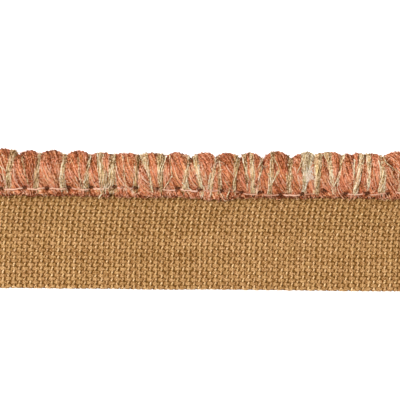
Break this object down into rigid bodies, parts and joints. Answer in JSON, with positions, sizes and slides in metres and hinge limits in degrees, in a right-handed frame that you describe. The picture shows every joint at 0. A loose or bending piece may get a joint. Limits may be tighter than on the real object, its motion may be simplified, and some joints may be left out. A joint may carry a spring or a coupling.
{
  "type": "flanged decorative cord, straight cut length",
  "caption": "Cut length of trimming: coral and beige yarn wound in close upright turns along the edge of a flat straw-coloured woven tape, stitched through the feet of the turns.",
  "frame": {"origin": "middle of the footprint, on the surface that the length lies on", "axes": "+X along the cord, +Y across the tape from its free edge to the cord, +Z away from the surface"},
  "size_m": [0.1, 0.0208, 0.0051],
  "materials": {
    "tape": "straw-gold plain-woven tape, matt, with a close woven edge",
    "yarn": "coral and beige spun yarn, matt and slightly fuzzy",
    "thread": "pale pink sewing thread, slightly glossy"
  },
  "bodies": {
    "root": {"flange_tape": "tape", "wound_cord": "yarn"}
  },
  "joints": []
}
